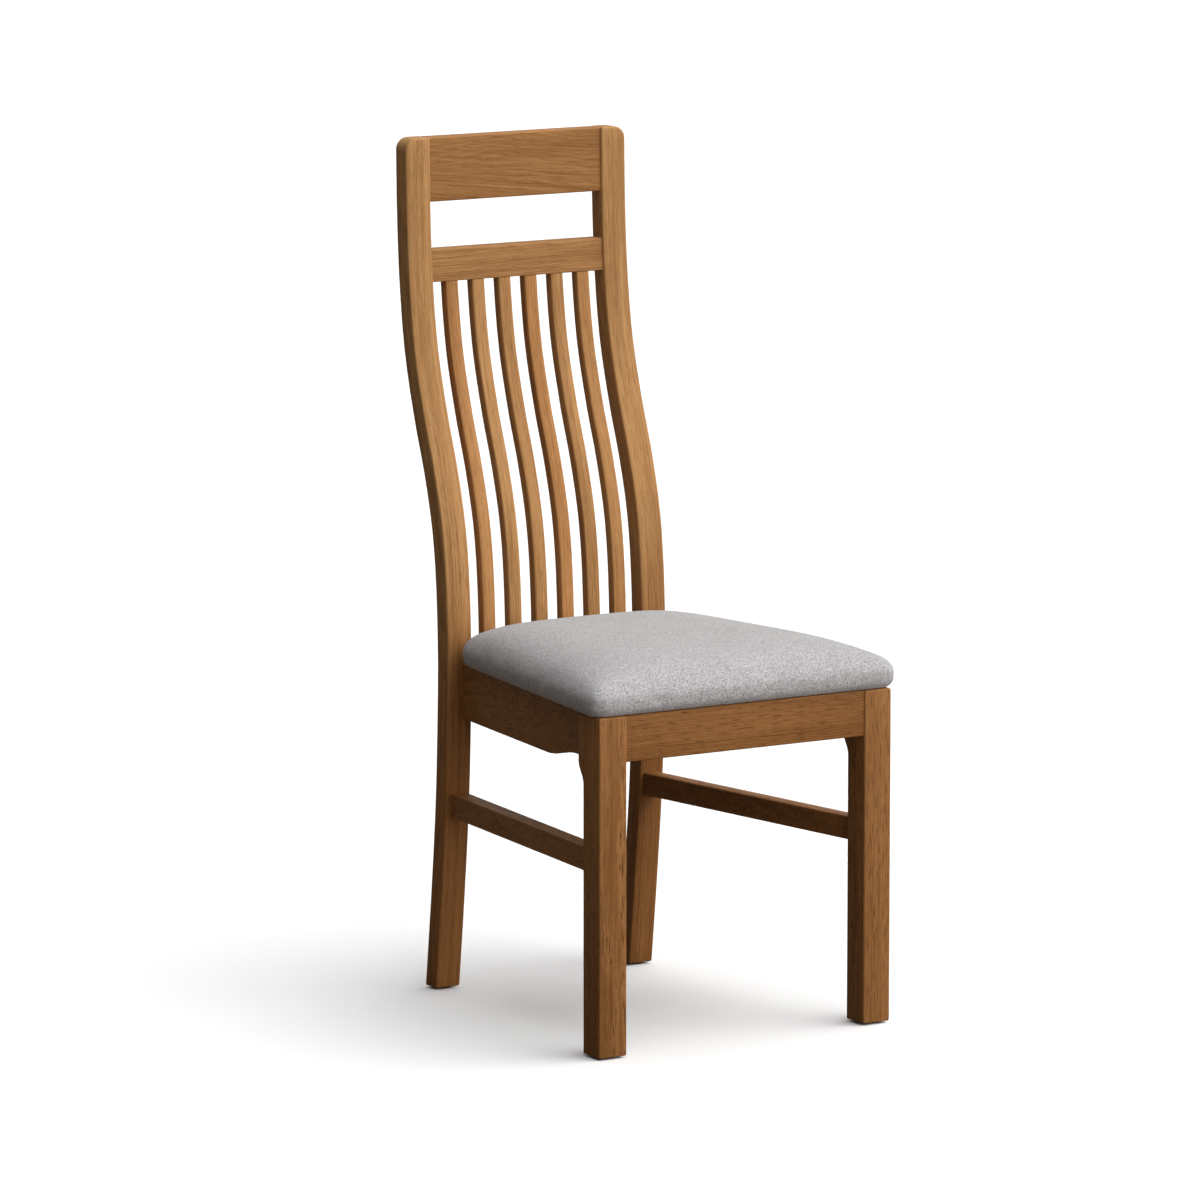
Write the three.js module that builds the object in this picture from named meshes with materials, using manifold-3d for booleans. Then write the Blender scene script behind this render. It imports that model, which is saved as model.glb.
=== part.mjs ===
// High-back slatted dining chair: solid timber frame with mortise and tenon joints,
// and an upholstered seat pad screwed down through glued corner blocks.
// Millimetres, +Z up, the sitter faces -Y. Set out from the front legs' front face (y = 0),
// then centred so that the origin is the middle of the bounding box on the floor.
import * as THREE from 'three';
import { mergeVertices } from 'three/addons/utils/BufferGeometryUtils.js';
import Module from 'manifold-3d';

const wasm = await Module();
wasm.setup();

// ---- driving dimensions -------------------------------------------------
const HEIGHT = 1100;
const GAP = 0.3; // joint clearance
const GLIDE = { r: 11, proud: 2.2, stemR: 4, stem: 14 };
const FOOT_Z = GLIDE.proud + GAP;
const EASE = 1.5; // eased arrises of the timber

const REAR_HALF = 166; // half the width over the rear legs
const POST = { w: 36, depth: 27.6, topR: 16 };
const POST_IN = REAR_HALF - POST.w;
// front edge of the rear leg: [height, distance behind the front legs' front face]
const BACK_LINE = [
  [0, 478.9], [120, 464.9], [240, 453.3], [340, 448.2], [440, 446.1], [540, 450.6], [610, 460.2],
  [680, 479.3], [750, 504.2], [830, 526.6], [920, 539.2], [1010, 544.6], [1100, 546.5],
];

const FRONT_HALF = 217.5;
const LEG = { w: 40, haunch: 51.5, haunchLow: 344, haunchHigh: 372 };
const LEG_IN = FRONT_HALF - LEG.w;
const RAIL_TOP = 431;
const FRONT_RAIL = { low: 372.5, front: 2.5, thick: 20 };
const REAR_RAIL = { low: 360, front: 451, thick: 19 };
const SIDE_RAIL = { low: 359.5, thick: 20, outRear: 144.4, yRear: 446, slope: 0.148, sweep: [86, 178] };
const STRETCHER = { low: 231.5, high: 261.5, w: 22, outFront: 208.8, outRear: 157.6, yFront: 40, yRear: 453 };

const CREST = { low: 1016.5, recess: 4, thick: 20 };
const UPPER_RAIL = { low: 913.3, high: 955.9, recess: 4, thick: 20 };
const SLAT = { count: 6, w: 18.5, recess: 5, thick: 15 };

const PAD = {
  front: -6, rear: 442, halfFront: 233.6, halfRear: 155.5, rFront: 25, rRear: 24,
  low: 431.3, top: 496, domeR: 1700, domeY: 195, skin: 1.2, board: 12, turnIn: 30,
  shoulder: { rise: 26, into: 20 }, foot: { rise: 9, into: 8 },
};
const BLOCK = { low: 396, high: 430.7 };
const SCREW = { r: 2, headR: 4, head: 2.4 };

// ---- the curved line of the back ---------------------------------------
function backLine(z) {
  const n = BACK_LINE.length;
  let i = 0;
  while (i < n - 2 && z > BACK_LINE[i + 1][0]) i += 1;
  const [z0, y0] = BACK_LINE[i];
  const [z1, y1] = BACK_LINE[i + 1];
  const slopeAt = (k) => {
    const [za, ya] = BACK_LINE[Math.max(k - 1, 0)];
    const [zb, yb] = BACK_LINE[Math.min(k + 1, n - 1)];
    return (yb - ya) / (zb - za);
  };
  const h = z1 - z0;
  const t = (z - z0) / h;
  const a = 2 * t ** 3 - 3 * t ** 2 + 1;
  const b = t ** 3 - 2 * t ** 2 + t;
  const c = -2 * t ** 3 + 3 * t ** 2;
  const d = t ** 3 - t ** 2;
  return a * y0 + b * h * slopeAt(i) + c * y1 + d * h * slopeAt(i + 1);
}

// y of a line set back from the front edge of the rear leg, measured square to the curve
function backAt(z, setBack = 0) {
  const slope = (backLine(z + 1) - backLine(z - 1)) / 2;
  return backLine(z) + setBack * Math.hypot(1, slope);
}

// ---- solids -------------------------------------------------------------
function toManifold(geometry) {
  const bare = geometry.clone();
  bare.deleteAttribute('normal');
  bare.deleteAttribute('uv');
  const merged = mergeVertices(bare, 1e-4);
  return new wasm.Manifold(new wasm.Mesh({
    numProp: 3,
    vertProperties: new Float32Array(merged.attributes.position.array),
    triVerts: new Uint32Array(merged.index.array),
  }));
}

function toGeometry(solid) {
  const mesh = solid.getMesh();
  const geometry = new THREE.BufferGeometry();
  geometry.setAttribute('position', new THREE.BufferAttribute(mesh.vertProperties, 3));
  geometry.setIndex(new THREE.BufferAttribute(mesh.triVerts, 1));
  const flat = geometry.toNonIndexed();
  flat.computeVertexNormals();
  return flat;
}

const AXES = {
  x: [[0, 1, 0], [0, 0, 1], [1, 0, 0]], // outline in y, z
  y: [[1, 0, 0], [0, 0, -1], [0, 1, 0]], // outline in x, -z
  z: [[1, 0, 0], [0, 1, 0], [0, 0, 1]], // outline in x, y
};

// a closed outline pushed along an axis from a to b, with its two end faces' edges eased
function prism(outline, axis, a, b, ease = 0) {
  const shape = outline instanceof THREE.Shape ? outline : new THREE.Shape(outline);
  const geometry = new THREE.ExtrudeGeometry(shape, {
    depth: b - a - 2 * ease,
    steps: 1,
    curveSegments: 3,
    bevelEnabled: ease > 0,
    bevelThickness: ease,
    bevelSize: ease,
    bevelOffset: -ease,
    bevelSegments: 1,
  });
  geometry.translate(0, 0, a + ease);
  const [u, v, w] = AXES[axis].map((e) => new THREE.Vector3(...e));
  geometry.applyMatrix4(new THREE.Matrix4().makeBasis(u, v, w));
  return toManifold(geometry);
}

function box(x0, x1, y0, y1, z0, z1) {
  const geometry = new THREE.BoxGeometry(x1 - x0, y1 - y0, z1 - z0);
  geometry.translate((x0 + x1) / 2, (y0 + y1) / 2, (z0 + z1) / 2);
  return toManifold(geometry);
}

// a straight round hole or rod between two points
function rod(from, to, r) {
  const start = new THREE.Vector3(...from);
  const end = new THREE.Vector3(...to);
  const along = end.clone().sub(start);
  const geometry = new THREE.CylinderGeometry(r, r, along.length(), 14);
  const turn = new THREE.Quaternion().setFromUnitVectors(new THREE.Vector3(0, 1, 0), along.clone().normalize());
  geometry.applyQuaternion(turn);
  geometry.translate(...start.add(end).multiplyScalar(0.5).toArray());
  return toManifold(geometry);
}

function easedRect(u0, u1, v0, v1, r = EASE) {
  const s = new THREE.Shape();
  s.moveTo(u0 + r, v0);
  s.lineTo(u1 - r, v0);
  s.absarc(u1 - r, v0 + r, r, -Math.PI / 2, 0);
  s.lineTo(u1, v1 - r);
  s.absarc(u1 - r, v1 - r, r, 0, Math.PI / 2);
  s.lineTo(u0 + r, v1);
  s.absarc(u0 + r, v1 - r, r, Math.PI / 2, Math.PI);
  s.lineTo(u0, v0 + r);
  s.absarc(u0 + r, v0 + r, r, Math.PI, 1.5 * Math.PI);
  return s;
}

// outline in y, z of a strip that follows the curve of the back
function backStrip(low, high, setBack, thick, steps) {
  const heights = Array.from({ length: steps + 1 }, (_, i) => low + ((high - low) * i) / steps);
  const rear = heights.map((z) => new THREE.Vector2(backAt(z, setBack + thick), z));
  const front = heights.map((z) => new THREE.Vector2(backAt(z, setBack), z)).reverse();
  return [...rear, ...front];
}

const points = (list) => list.map(([u, v]) => new THREE.Vector2(u, v));
const mirrored = (solid) => solid.mirror([1, 0, 0]);

// ---- tenons: [x0, x1, y0, y1, z0, z1]; the mortise is GAP larger all round -----
const tenonBox = (t) => box(...t);
const mortiseBox = ([x0, x1, y0, y1, z0, z1]) => (
  box(x0 - GAP, x1 + GAP, y0 - GAP, y1 + GAP, z0 - GAP, z1 + GAP)
);

const sideOut = (y) => SIDE_RAIL.outRear + SIDE_RAIL.slope * (SIDE_RAIL.yRear - y);
const sideX = SIDE_RAIL.thick * Math.hypot(1, SIDE_RAIL.slope); // rail thickness measured along x
const stretchOut = (y) => {
  const t = (y - STRETCHER.yFront) / (STRETCHER.yRear - STRETCHER.yFront);
  return STRETCHER.outFront + (STRETCHER.outRear - STRETCHER.outFront) * t;
};

// the joints of the left side; the right side is their mirror image
const J = {
  frontRail: [-LEG_IN - 22, -LEG_IN + 5, 7.5, 17.5, 382, 421],
  sideFront: [-sideOut(51.5) + 5, -sideOut(51.5) + 15, 30, 60, 382, 421],
  sideRear: [-143, -134, 435, 457, 372, 421],
  rearRail: [-POST_IN - 17, -POST_IN + 5, 459.5, 467.5, 370, 421],
  stretchFront: [-stretchOut(40) + 6, -stretchOut(40) + 16, 22, 48, 236.5, 256.5],
  stretchRear: [-stretchOut(453) + 6, -stretchOut(453) + 16, 446, 467, 236.5, 256.5],
  upperRail: [-POST_IN - 20, -POST_IN + 5, backAt(935, 9), backAt(935, 19), 920, 949],
  crest: [-POST_IN - 20, -POST_IN + 5, backAt(1058, 9), backAt(1058, 19), 1028, 1088],
};

// ---- fixings --------------------------------------------------------------
const norm = new THREE.Vector2(1, -SIDE_RAIL.slope).normalize();
const sideIn = (y) => -sideOut(y) + sideX;
function intoSideRail(y, z, start, length) {
  const from = [sideIn(y) + start * norm.x, y + start * norm.y, z];
  return { from, to: [from[0] - length * norm.x, from[1] - length * norm.y, z] };
}
// head seat and tip of every screw on the left side
const SCREWS = {
  front_left: {
    cross: { from: [-135, 47, 405], to: [-135, 9, 405] },
    side: intoSideRail(85, 416, 16, 30),
    seat: { from: [-156, 55, BLOCK.low - GAP], to: [-156, 55, 441.5] },
  },
  rear_left: {
    cross: { from: [-90, 429, 405], to: [-90, 463, 405] },
    side: intoSideRail(405, 416, 16, 30),
    seat: { from: [-112, 424, BLOCK.low - GAP], to: [-112, 424, 441.5] },
  },
};

// clearance for a screw: the shank's hole and, behind the head, an open counterbore
function screwHole({ from, to }, counterbore) {
  const dir = new THREE.Vector3(...to).sub(new THREE.Vector3(...from)).normalize();
  const at = (p, d) => [p[0] + dir.x * d, p[1] + dir.y * d, p[2] + dir.z * d];
  const shank = rod(at(from, -1), at(to, 1), SCREW.r + GAP);
  return counterbore ? shank.add(rod(at(from, -40), at(from, GAP), SCREW.headR + 0.6)) : shank;
}

const leftHoles = (corner) => ['cross', 'side', 'seat'].map((k) => screwHole(SCREWS[corner][k], k !== 'seat'));
const drill = (solid, holes) => holes.reduce((s, h) => s.subtract(h), solid);
const bothSides = (holes) => [...holes, ...holes.map(mirrored)];
const seatHoles = bothSides(Object.values(SCREWS).map((s) => screwHole(s.seat, false)));

// ---- frame pieces -----------------------------------------------------------
function glideHole(x, y) {
  return rod([x, y, 0], [x, y, FOOT_Z + GLIDE.stem + 1], GLIDE.stemR + GAP);
}
const REAR_FOOT = [-(REAR_HALF - POST.w / 2), backAt(0, POST.depth / 2)];
const FRONT_FOOT = [-(FRONT_HALF - LEG.w / 2), LEG.w / 2];

function rearLeg() {
  const side = prism(backStrip(FOOT_Z, HEIGHT, 0, POST.depth, 32), 'x', -REAR_HALF, -POST_IN, EASE);
  const r = POST.topR;
  const face = new THREE.Shape();
  face.moveTo(-REAR_HALF - 1, 0);
  face.lineTo(-POST_IN + 1, 0);
  face.lineTo(-POST_IN + 1, -HEIGHT);
  face.absarc(-REAR_HALF + r, -HEIGHT + r, r, -Math.PI / 2, -Math.PI, true);
  face.lineTo(-REAR_HALF - 1, -HEIGHT + r);
  const cut = prism(face, 'y', 400, 620);
  const joints = [J.sideRear, J.rearRail, J.stretchRear, J.upperRail, J.crest].map(mortiseBox);
  return drill(side.intersect(cut), [...joints, glideHole(...REAR_FOOT)]);
}

function frontLeg() {
  const curve = [];
  for (let i = 0; i <= 6; i += 1) {
    const t = i / 6;
    const z = LEG.haunchLow + (LEG.haunchHigh - LEG.haunchLow) * t;
    curve.push([LEG.w + (LEG.haunch - LEG.w) * (t * t * (3 - 2 * t)), z]);
  }
  const outline = points([[0, FOOT_Z], [LEG.w, FOOT_Z], ...curve, [LEG.haunch, RAIL_TOP], [0, RAIL_TOP]]);
  const body = prism(outline, 'x', -FRONT_HALF, -LEG_IN, EASE);
  return drill(body, [J.frontRail, J.sideFront, J.stretchFront].map(mortiseBox).concat(glideHole(...FRONT_FOOT)));
}

// a rail that runs across the chair, with a tenon at each end
function crossRail(outline, half, tenon) {
  const t = tenonBox(tenon);
  return prism(outline, 'x', -half + GAP, half - GAP).add(t).add(mirrored(t));
}

function frontRail() {
  const { low, front, thick } = FRONT_RAIL;
  const body = crossRail(easedRect(front, front + thick, low, RAIL_TOP), LEG_IN, J.frontRail);
  return drill(body, bothSides([screwHole(SCREWS.front_left.cross, true)]));
}

const slatXs = Array.from({ length: SLAT.count }, (_, i) => {
  const space = (2 * POST_IN - SLAT.count * SLAT.w) / (SLAT.count + 1);
  return (i - (SLAT.count - 1) / 2) * (SLAT.w + space);
});
const SLAT_LOW = RAIL_TOP + GAP;
const SLAT_HIGH = UPPER_RAIL.low - GAP;
const slatTenon = (z0, z1) => [-6, 6, backAt((z0 + z1) / 2, 9), backAt((z0 + z1) / 2, 16), z0, z1];
const SLAT_TENONS = [slatTenon(RAIL_TOP - 14, RAIL_TOP + 4), slatTenon(UPPER_RAIL.low - 4, UPPER_RAIL.low + 12)];
const slatMortises = SLAT_TENONS.map((t) => slatXs.map((x) => mortiseBox(t).translate([x, 0, 0])));

function rearRail() {
  const { low, front, thick } = REAR_RAIL;
  const body = crossRail(easedRect(front, front + thick, low, RAIL_TOP), POST_IN, J.rearRail);
  return drill(body, [...slatMortises[0], ...bothSides([screwHole(SCREWS.rear_left.cross, true)])]);
}

function upperRail() {
  const { low, high, recess, thick } = UPPER_RAIL;
  return drill(crossRail(backStrip(low, high, recess, thick, 3), POST_IN, J.upperRail), slatMortises[1]);
}

const crestRail = () => crossRail(backStrip(CREST.low, HEIGHT, CREST.recess, CREST.thick, 4), POST_IN, J.crest);

function backSlat() {
  const strip = prism(backStrip(SLAT_LOW - 9, SLAT_HIGH + 9, SLAT.recess, SLAT.thick, 18), 'x', -SLAT.w / 2, SLAT.w / 2, EASE);
  const span = box(-20, 20, 400, 620, SLAT_LOW, SLAT_HIGH);
  return SLAT_TENONS.reduce((s, t) => s.add(tenonBox(t)), strip.intersect(span));
}

// side seat rail: the lower edge sweeps up to the front rail's lower edge
function sideRail() {
  const plan = points([
    [-sideOut(40), 40], [-sideOut(40) + sideX, 40], [-sideOut(455) + sideX, 455], [-sideOut(455), 455],
  ]);
  const body = prism(plan, 'z', SIDE_RAIL.low, RAIL_TOP, EASE);
  const [y0, y1] = SIDE_RAIL.sweep;
  const front = LEG.haunch + GAP;
  const lower = [[front, FRONT_RAIL.low]];
  for (let i = 0; i <= 8; i += 1) {
    const t = i / 8;
    const z = FRONT_RAIL.low + (SIDE_RAIL.low - 1 - FRONT_RAIL.low) * (t * t * (3 - 2 * t));
    lower.push([y0 + (y1 - y0) * t, z]);
  }
  const rear = [350, 365, 385, 405, 425, 440].map((z) => [backAt(z) - GAP, z]);
  const outline = points([...lower, ...rear, [front, 440]]);
  const shaped = body.intersect(prism(outline, 'x', -260, 0));
  const tenons = [J.sideFront, J.sideRear].map(tenonBox);
  const holes = ['front_left', 'rear_left'].map((c) => screwHole(SCREWS[c].side, true));
  return drill(tenons.reduce((s, t) => s.add(t), shaped), holes);
}

function stretcher() {
  const { w, low, high } = STRETCHER;
  const plan = points([
    [-stretchOut(30), 30], [-stretchOut(30) + w, 30], [-stretchOut(465) + w, 465], [-stretchOut(465), 465],
  ]);
  const ends = points([
    [LEG.w + GAP, low - 5], [backAt(low - 5) - GAP, low - 5],
    [backAt(high + 5) - GAP, high + 5], [LEG.w + GAP, high + 5],
  ]);
  const body = prism(plan, 'z', low, high, EASE).intersect(prism(ends, 'x', -260, 0));
  return [J.stretchFront, J.stretchRear].map(tenonBox).reduce((s, t) => s.add(t), body);
}

function cornerBlock(corner) {
  const back = FRONT_RAIL.front + FRONT_RAIL.thick + GAP;
  const inX = -LEG_IN + GAP;
  const behind = LEG.haunch + GAP;
  const seat = REAR_RAIL.front - GAP;
  const outline = corner === 'front_left'
    ? [[inX, back], [-108, back], [-108, back + 6], [sideIn(112) + GAP + 5, 112], [sideIn(112) + GAP, 112],
      [sideIn(behind) + GAP, behind], [inX, behind]]
    : [[sideIn(378) + GAP, 378], [sideIn(378) + GAP + 5, 378], [-58, seat - 6], [-58, seat],
      [sideIn(seat) + GAP, seat]];
  return drill(prism(points(outline), 'z', BLOCK.low, BLOCK.high), leftHoles(corner));
}

// ---- seat pad -----------------------------------------------------------------
// plan of the pad, drawn in from its widest outline
function padPlan(inset) {
  const front = PAD.front + inset;
  const rear = PAD.rear - inset;
  const slope = (PAD.halfFront - PAD.halfRear) / (PAD.rear - PAD.front);
  const half = (y) => PAD.halfFront - slope * (y - PAD.front) - inset * Math.hypot(1, slope);
  const rf = Math.max(PAD.rFront - inset, 4);
  const rr = Math.max(PAD.rRear - inset, 4);
  const lean = Math.atan(slope);
  const frontC = half(front + rf) - rf / Math.cos(lean);
  const rearC = half(rear - rr) - rr / Math.cos(lean);
  const s = new THREE.Shape();
  s.moveTo(-frontC, front);
  s.lineTo(frontC, front);
  s.absarc(frontC, front + rf, rf, -Math.PI / 2, lean);
  s.absarc(rearC, rear - rr, rr, lean, Math.PI / 2);
  s.lineTo(-rearC, rear);
  s.absarc(-rearC, rear - rr, rr, Math.PI / 2, Math.PI - lean);
  s.absarc(-frontC, front + rf, rf, Math.PI - lean, 1.5 * Math.PI);
  return s;
}

// the pad's plan carried up from one height to another, its rims rounded by an edge
function padSlab(inset, edge, from, to) {
  const rise = edge.rise - inset / 2;
  const slab = new THREE.ExtrudeGeometry(padPlan(inset), {
    depth: to - from - 2 * rise,
    steps: 1,
    curveSegments: 4,
    bevelEnabled: true,
    bevelThickness: rise,
    bevelSize: edge.into - inset / 2,
    bevelOffset: inset / 2 - edge.into,
    bevelSegments: 4,
  });
  slab.translate(0, 0, from + rise);
  return toManifold(slab);
}

// the pad's crowned block, drawn in by inset all over
function padSolid(inset, low) {
  const spare = 80;
  const upper = padSlab(inset, PAD.shoulder, PAD.low - spare, PAD.top - inset);
  const lower = padSlab(inset, PAD.foot, PAD.low + inset, PAD.top + spare);
  const dome = [new THREE.Vector2(0, 380), new THREE.Vector2(360, 380)];
  for (let r = 360; r >= 0; r -= 45) {
    dome.push(new THREE.Vector2(r, PAD.top - inset - (r * r) / (2 * PAD.domeR)));
  }
  const crown = new THREE.LatheGeometry(dome, 32);
  crown.rotateX(Math.PI / 2);
  crown.translate(0, PAD.domeY, 0);
  const block = upper.intersect(lower).intersect(toManifold(crown));
  return low === undefined ? block : block.intersect(box(-300, 300, -60, 520, low, 520));
}

const boardLow = PAD.low + PAD.skin + GAP;
const boardHigh = boardLow + PAD.board;

function seatCover() {
  const opening = prism(padPlan(PAD.turnIn), 'z', PAD.low - 5, PAD.low + PAD.skin + 2);
  return drill(padSolid(0).subtract(padSolid(PAD.skin)).subtract(opening), seatHoles);
}
const seatFoam = () => padSolid(PAD.skin + GAP, boardHigh + GAP);
const seatBoard = () => drill(prism(padPlan(13), 'z', boardLow, boardHigh), seatHoles);
const dustCover = () => drill(prism(padPlan(PAD.turnIn + GAP), 'z', boardLow - 1.2, boardLow - GAP), seatHoles);

// ---- small turned pieces ------------------------------------------------------
const lathe = (profile, segments) => new THREE.LatheGeometry(points(profile), segments).rotateX(Math.PI / 2);

function glideGeometry() {
  const { r, proud, stemR, stem } = GLIDE;
  return lathe([[0, 0], [r - 0.8, 0], [r, 0.8], [r, proud], [stemR, proud], [stemR, proud + stem - 1],
    [stemR - 1, proud + stem], [0, proud + stem]], 20);
}

// the shank runs along +Z from the head's seat; the driver recess is cut in the head's outer face
function screwGeometry(length) {
  const { r, headR, head } = SCREW;
  return lathe([[0, -head + 1.2], [1.2, -head + 1.2], [1.5, -head], [headR - 1, -head], [headR, -head + 1],
    [headR, 0], [r, 0], [r, length - 4], [0.4, length], [0, length]], 12);
}

// ---- materials -------------------------------------------------------------------
const srgb = (r, g, b) => new THREE.Color().setRGB(r / 255, g / 255, b / 255, THREE.SRGBColorSpace);
const TIMBER = { color: srgb(146, 98, 56), roughness: 0.55, metalness: 0 };
const BLOCKWOOD = { color: srgb(190, 158, 112), roughness: 0.75, metalness: 0 };
const PLYWOOD = { color: srgb(196, 164, 118), roughness: 0.8, metalness: 0 };
const FABRIC = { color: srgb(176, 173, 174), roughness: 0.95, metalness: 0 };
const FOAM = { color: srgb(226, 218, 190), roughness: 0.95, metalness: 0 };
const BLACK_CLOTH = { color: srgb(38, 38, 40), roughness: 0.95, metalness: 0 };
const STEEL = { color: srgb(176, 172, 160), roughness: 0.35, metalness: 0.9 };
const NYLON = { color: srgb(70, 60, 50), roughness: 0.6, metalness: 0 };

const chair = new THREE.Group();
chair.name = 'chair';

function addMesh(name, geometry, look, position = [0, 0, 0]) {
  const mesh = new THREE.Mesh(geometry, new THREE.MeshStandardMaterial({ name, ...look }));
  mesh.name = name;
  mesh.position.set(...position);
  chair.add(mesh);
  return mesh;
}

function addPair(name, solid, look) {
  addMesh(`${name}_left`, toGeometry(solid), look);
  addMesh(`${name}_right`, toGeometry(mirrored(solid)), look);
}

addPair('rear_leg', rearLeg(), TIMBER);
addPair('front_leg', frontLeg(), TIMBER);
addMesh('crest_rail', toGeometry(crestRail()), TIMBER);
addMesh('upper_back_rail', toGeometry(upperRail()), TIMBER);
const slatGeometry = toGeometry(backSlat());
slatXs.forEach((x, i) => addMesh(`back_slat_${i + 1}`, slatGeometry.clone(), TIMBER, [x, 0, 0]));
addMesh('rear_seat_rail', toGeometry(rearRail()), TIMBER);
addMesh('front_seat_rail', toGeometry(frontRail()), TIMBER);
addPair('side_seat_rail', sideRail(), TIMBER);
addPair('side_stretcher', stretcher(), TIMBER);
addPair('corner_block_front', cornerBlock('front_left'), BLOCKWOOD);
addPair('corner_block_rear', cornerBlock('rear_left'), BLOCKWOOD);

addMesh('seat_board', toGeometry(seatBoard()), PLYWOOD);
addMesh('seat_foam', toGeometry(seatFoam()), FOAM);
addMesh('seat_cover', toGeometry(seatCover()), FABRIC);
addMesh('seat_dust_cover', toGeometry(dustCover()), BLACK_CLOTH);

Object.entries(SCREWS).forEach(([corner, set]) => {
  const end = corner.split('_')[0];
  Object.entries(set).forEach(([use, { from, to }]) => {
    const start = new THREE.Vector3(...from);
    const along = new THREE.Vector3(...to).sub(start);
    const geometry = screwGeometry(along.length());
    ['left', 'right'].forEach((side) => {
      const sign = side === 'left' ? 1 : -1;
      const mesh = addMesh(`screw_${use}_${end}_${side}`, geometry.clone(), STEEL, [sign * from[0], from[1], from[2]]);
      const dir = along.clone().normalize();
      dir.x *= sign;
      mesh.quaternion.setFromUnitVectors(new THREE.Vector3(0, 0, 1), dir);
    });
  });
});

[['front', FRONT_FOOT], ['rear', REAR_FOOT]].forEach(([end, [x, y]]) => {
  addMesh(`foot_glide_${end}_left`, glideGeometry(), NYLON, [x, y, 0]);
  addMesh(`foot_glide_${end}_right`, glideGeometry(), NYLON, [-x, y, 0]);
});

chair.position.y = -(PAD.front + backAt(HEIGHT, POST.depth)) / 2;

const part = new THREE.Group();
part.name = 'slat_back_chair';
part.add(chair);
export default part;
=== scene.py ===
"""Slat-back dining chair: its finished pieces, their materials and a plain studio.

Every piece is made by one operator, in metres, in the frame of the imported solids."""

import math

import bmesh
import bpy
from bpy.props import FloatProperty, FloatVectorProperty, IntProperty, PointerProperty
from mathutils import Matrix, Vector


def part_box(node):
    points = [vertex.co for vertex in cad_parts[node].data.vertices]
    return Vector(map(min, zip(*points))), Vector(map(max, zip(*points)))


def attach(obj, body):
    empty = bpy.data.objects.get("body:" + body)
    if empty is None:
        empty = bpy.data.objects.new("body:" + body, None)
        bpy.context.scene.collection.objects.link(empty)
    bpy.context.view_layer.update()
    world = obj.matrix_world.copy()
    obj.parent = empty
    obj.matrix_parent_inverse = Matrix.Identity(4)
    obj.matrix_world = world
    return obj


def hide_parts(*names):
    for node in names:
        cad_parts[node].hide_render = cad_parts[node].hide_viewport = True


bl_info = {
    "name": "Slat-back dining chair",
    "version": (1, 0, 0),
    "blender": (4, 5, 0),
    "location": "View3D > Sidebar > Chair",
    "description": "Makes the timber, the seat pad and the studio of a slat-back dining chair",
    "category": "Add Mesh",
}

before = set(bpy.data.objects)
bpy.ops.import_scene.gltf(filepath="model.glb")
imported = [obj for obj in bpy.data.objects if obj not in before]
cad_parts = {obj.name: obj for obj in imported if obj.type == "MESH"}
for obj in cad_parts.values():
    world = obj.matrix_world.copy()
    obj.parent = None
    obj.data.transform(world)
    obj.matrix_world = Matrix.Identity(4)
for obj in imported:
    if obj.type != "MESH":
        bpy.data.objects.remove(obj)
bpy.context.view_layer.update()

# The front face of the front legs, from which the chair is set out.
FRONT_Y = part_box("front_leg_left")[0].y
SIDES = (("left", -1), ("right", 1))
# Half the pad's width along its front and rear edges, before its corners are rounded.
PAD_HALF_FRONT, PAD_HALF_REAR = 0.2340, 0.1580
# How square the pad's crown is, across and from front to rear.
CROWN_POWERS = (5.5, 5.0)
# How far in from the pad's edge the lining's bay and the row of staples lie.
BAY_INSET, STAPLE_INSET = 0.030, 0.037
# Play between the pad's mesh and its packed box.
PAD_PLAY = 0.0015

# Boards that follow the back: set-back from the legs' front edge, thickness, cuts.
REAR_LEG, BACK_RAIL, BACK_SLAT = (0.0, 0.0276, 44), (0.004, 0.020, 6), (0.005, 0.015, 30)
# Heights between which a front leg swells, and between which a rear leg's painted shade from the
# seat fades out upwards.
SWELLING, PAINTED_SHADE_HEIGHTS = (0.344, 0.372), (0.32, 0.60)

# Where the camera stands, across and ahead of the front legs, and its tilt and turn.
CAMERA_ACROSS, CAMERA_AHEAD, CAMERA_TILT, CAMERA_TURN = -5.3551, 8.1462, 81.082, -32.240
# Fall and spread of the overhead light, and where the front and back lights stand.
OVERHEAD_AIM, OVERHEAD_SPREAD = (-0.17, 0.12, -1.0), 64
FRONT_GLOW, BACK_GLOW = (0.56, -0.69, 0.46), (0.42, 0.86, 0.28)
GLOW_COLOUR = (1.0, 0.97, 0.94, 1)

# A staple's crown: length, width and thickness.
STAPLE = (0.0095, 0.0010, 0.00045)
# Ledge on the rear seat rail: half its length, its height, and its reach under the pad.
LEDGE_HALF, LEDGE_HEIGHT, LEDGE_REACH = 0.1235, 0.018, 0.022

# Mesh attribute that is 1 on rounded edges, where the timber is rubbed paler.
WORN_EDGE = "worn_edge"
# Mesh attribute that holds a bent board's points as they would be with the board straight.
STRAIGHT_BOARD = "straight_board"

# Front edge of the rear leg: height, and distance behind the front legs' front face.
BACK_LINE = (
    (0.0, 0.4789), (0.12, 0.4649), (0.24, 0.4533), (0.34, 0.4482), (0.44, 0.4461),
    (0.54, 0.4506), (0.61, 0.4602), (0.68, 0.4793), (0.75, 0.5042), (0.83, 0.5266),
    (0.92, 0.5392), (1.01, 0.5446), (1.1, 0.5465),
)


# ---------------------------------------------------------------- settings

def length(name, text, default, low=0.0):
    """A length in metres that a user may change."""
    return FloatProperty(
        name=name, description=text, default=default, min=low, unit="LENGTH", precision=4
    )


def colour(name, text, default):
    """A surface colour that a user may change."""
    return FloatVectorProperty(
        name=name, description=text, default=default, size=3, min=0.0, max=1.0, subtype="COLOR"
    )


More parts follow.
